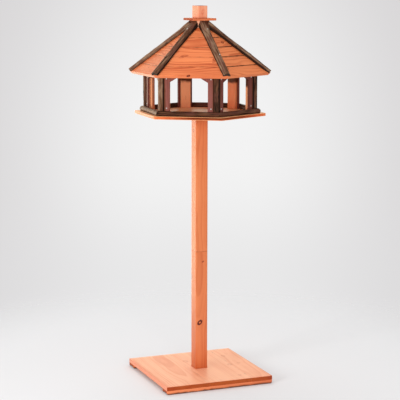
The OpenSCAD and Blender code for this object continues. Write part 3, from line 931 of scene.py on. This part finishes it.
# How far in from the hip's lower end the screws stand, and the point of the section on top.
screw_reaches = (0.0595, 0.169)
crown = 23
screw_places = []
for k in range(1, 7):
    out = bearing(k, roof_turn)
    far_way = 1 if k > 3 else -1
    uphill = Z * np.sin(hip_pitch) - out * np.cos(hip_pitch)
    over = out * np.sin(hip_pitch) + Z * np.cos(hip_pitch)
    up = over * np.cos(rafter_roll) - far_way * toward(out) * np.sin(rafter_roll)
    circle, angle = round_section(1.0, 90)
    ring = np.maximum(circle * rafter_top, [-1, rafter_sink]) + [0, roof_seam - rafter_sink]
    tip = rafter_length + ring @ np.stack([np.cross(up, uphill), up]) @ out / np.cos(hip_pitch)
    s = rafter_start + np.linspace(0, 1, 160)[:, None] * (tip - rafter_start)
    taper = (rafter_top - rafter_foot) * (s - rafter_start) / (rafter_length - rafter_start)
    depth, knots = peeled(130 + k, angle[None], s, 0.0004, 0.00018)
    from_head = s - rafter_length
    head = np.clip((from_head + 0.06) / 0.05, 0, 1)
    size = rafter_foot + taper - np.maximum(depth, -0.0006) * (1 - head)
    if k == 6:
        off_stub = ((s - stub_place) / 0.004) ** 2 + ((circle[:, 0] - 0.9) / 0.25) ** 2
        size = size + stub_height * np.exp(-off_stub)
    # Towards its head the section, a circle, grows squarer: |cos| and |sin| to a power below 1.
    square = 1 - 0.55 * np.clip((from_head + 0.045) / 0.03, 0, 1)
    p = size * (1 + 0.12 * head) * np.sign(circle[:, 0]) * np.abs(circle[:, 0]) ** square
    q = size * np.sign(circle[:, 1]) * np.abs(circle[:, 1]) ** square
    q = np.where(q > 0, q * crown_heights[k - 1], q)
    # Underneath, it is flat up to its far edge, and follows the roof down on its near side.
    flare = 1 + (near_flares[k - 1] - 1) * np.clip((s - 0.008) / 0.03, 0, 1)
    p = np.where(far_way * p < 0, p * flare, p)
    chord = np.sqrt(size**2 - rafter_sink**2)
    near_side = np.maximum(-far_way * p, 0)
    p = np.where((far_way * p > 0) & (q < rafter_sink), np.clip(p, -chord, chord), p)
    q = np.maximum(q, rafter_sink - flank_slopes[k - 1] * near_side)
    side = far_way * circle[:, 0] + 0 * s
    # Shade is painted along the far flank, near black, and along the lower part of the near flank.
    near_shade = np.clip((near_shades[k - 1] - circle[:, 1]) / 0.15, 0, 1) * near_shade_strengths[k - 1]
    painted_shade = np.maximum((side - far_shades[k - 1]) / 0.14, np.where(side < -0.5, near_shade, 0))
    start = out * hip_reach + Z * eave_z + up * (roof_seam - rafter_sink)
    grid, tone = (s, p, q), rafter_tones[k - 1]
    log(f"rafter_{k}", f"hip_rafter_{k}", grid, knots, painted_shade, start, uphill, up, 130 + k, tone)
    for reach in screw_reaches if k < 6 else screw_reaches[:1]:
        where = (hip_reach - reach) / np.cos(hip_pitch)
        crest = np.interp(where, s[:, crown], q[:, crown])
        screw_places.append((start + uphill * where + up * crest, up, k + reach))

# ---- Peak ----
# A six-sided pine king post stands inside the peak, and the rafters end against it. It carries a thin
# square cap of orange pine, and on that sits a square block of pale pine, turned a little.

bottom, top = span("king_post", Z)
plan = corners("king_post")
plan = plan[plan[:, 2] > top - touch, :2]
section = rounded(plan[np.argsort(np.arctan2(plan[:, 1], plan[:, 0]))], 0.001, 2)
# Its front left face shows bare between two rafters, and the others are painted dark as shade.
bare = section @ roof_ways[5][:2] > 0.93 * np.linalg.norm(section, axis=1)
tone, joint = np.where(bare, -0.6, 0.5), np.where(bare, 1.0, -0.01)
lengths = [timber(carry(section, bottom, top, 20, 0.0008), origin, Z, Y, 141, tone, joint)]
piece("peak_post", lengths, pale_pine, "orange_pine", "king_post")

cap_ease = 0.0012
low, high = box_of("cap_plate")
grid = carry(rounded(rectangle(low[1:], high[1:]), cap_ease, 8), low[0], high[0], 20, 0.001)
piece("peak_cap", [timber(grid, origin, X, Z, 142, 0.8)], orange_pine, "orange_pine", "cap_plate")

block_half = 0.0385 / 2
block_turn = np.radians(12.5)
block_way = np.array([-np.sin(block_turn), np.cos(block_turn), 0])
section = rounded(rectangle((-block_half, -block_half), (block_half, block_half)), cap_ease, 3)
grid = carry(section, *span("top_block", Z), 20, cap_ease)
lengths = [timber(grid, origin, Z, block_way, 143, 1.45)]
piece("peak_block", lengths, pale_pine, "pale_pine", "top_block")

# ---- Screws ----
# Zinc-plated pan-head screws with a cross recess. Four hold each wall to the corner posts, and the
# others hold the rafters to the roof.

zinc, tree = new_material("zinc")
mist = noise(tree, add_node(tree, "TexCoord").outputs["Object"], (900, 900, 900))
dull = maths(tree, "MULTIPLY_ADD", mist, 0.25, 0.25)
inputs = {"Base Color": srgb(238, 234, 226), "Metallic": 0.4, "Roughness": dull}
add_node(tree, "OutputMaterial", {"Surface": add_node(tree, "BsdfPrincipled", inputs).outputs[0]})

screw_across = 0.078
screw_heights = (0.986, 1.087)
for k, out in face_way.items():
    wall_front = span(f"wall_frame_{k}", out)[1]
    for u in (-screw_across, screw_across):
        for z in screw_heights:
            screw_places.append((out * wall_front + toward(out) * u + Z * z, out, u + z + k))

# A head is a dome: r cos t across and h sin t high, less a cross that fades out at its edges.
screw_radius = 0.0024
screw_height = 0.0013
recess_depth = 0.0009
recess_half = 0.0006
recess_reach = 0.0017
head_root = 0.0003
turn = np.linspace(0, 2 * np.pi, 32, endpoint=False)
dome = np.linspace(0, np.pi / 2, 9)[:, None]
u, v = screw_radius * np.cos(dome) * np.cos(turn), screw_radius * np.cos(dome) * np.sin(turn)
narrow = np.clip((recess_half - np.minimum(np.abs(u), np.abs(v))) / 0.0002, 0, 1)
inside = np.clip((recess_reach - np.maximum(np.abs(u), np.abs(v))) / 0.0003, 0, 1)
rise = screw_height * np.sin(dome) - recess_depth * narrow * inside
heads = []
for place, way, spin in screw_places:
    level = np.cross(way, Z)
    level /= np.linalg.norm(level)
    level = level * np.cos(spin * 9) + np.cross(way, level) * np.sin(spin * 9)
    head = place + u[..., None] * level + v[..., None] * np.cross(way, level) + rise[..., None] * way
    heads.append((np.concatenate([head[:1] - head_root * way, head]), {}))
screws = bpy.data.objects.new("screws", skin("screws", heads))
screws.data.materials.append(zinc)
scene.collection.objects.link(screws)
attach(screws, "root")

size = {"cad": [list(v) for v in cad_box], "visual": [list(v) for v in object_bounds()]}
